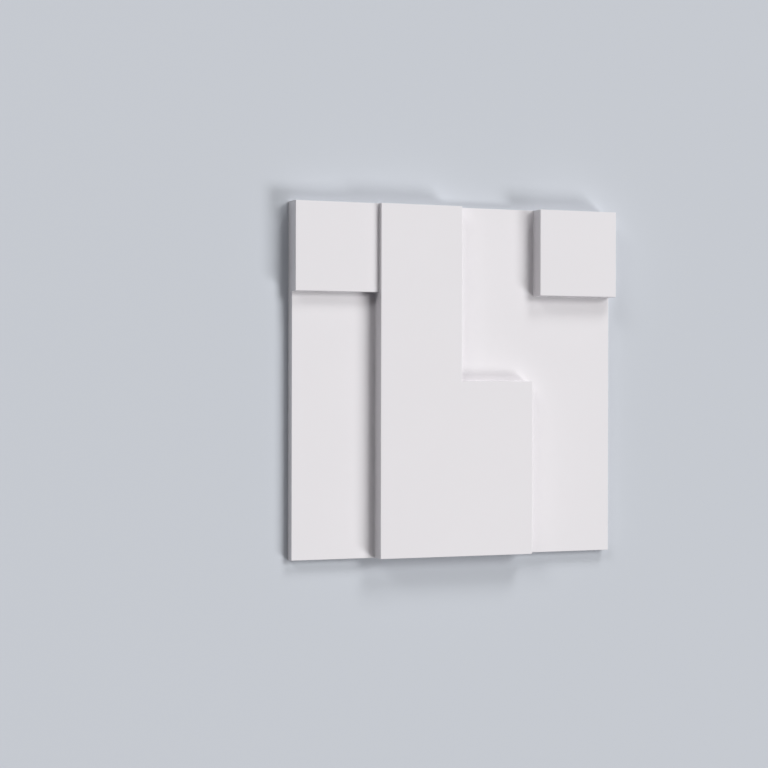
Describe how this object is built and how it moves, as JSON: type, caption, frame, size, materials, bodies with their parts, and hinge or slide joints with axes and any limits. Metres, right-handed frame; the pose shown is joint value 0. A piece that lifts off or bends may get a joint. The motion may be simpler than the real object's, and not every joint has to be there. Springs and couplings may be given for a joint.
{
  "type": "3d wall panel tile",
  "caption": "Square relief wall tile, moulded in one piece, with stepped flat plates: an L-shaped column, a corner square on each side of it and a flat glue face on the back.",
  "frame": {"origin": "middle of the flat glue face on the tile's back", "axes": "+Z out of the face, away from the wall; +Y up the wall as the tile hangs; +X to the right of someone who looks at the face"},
  "size_m": [0.333, 0.333, 0.025],
  "materials": {
    "primed_polyurethane": "matte white factory primer on a smooth moulded face"
  },
  "bodies": {
    "root": {"wall_tile": "primed_polyurethane"}
  },
  "joints": []
}
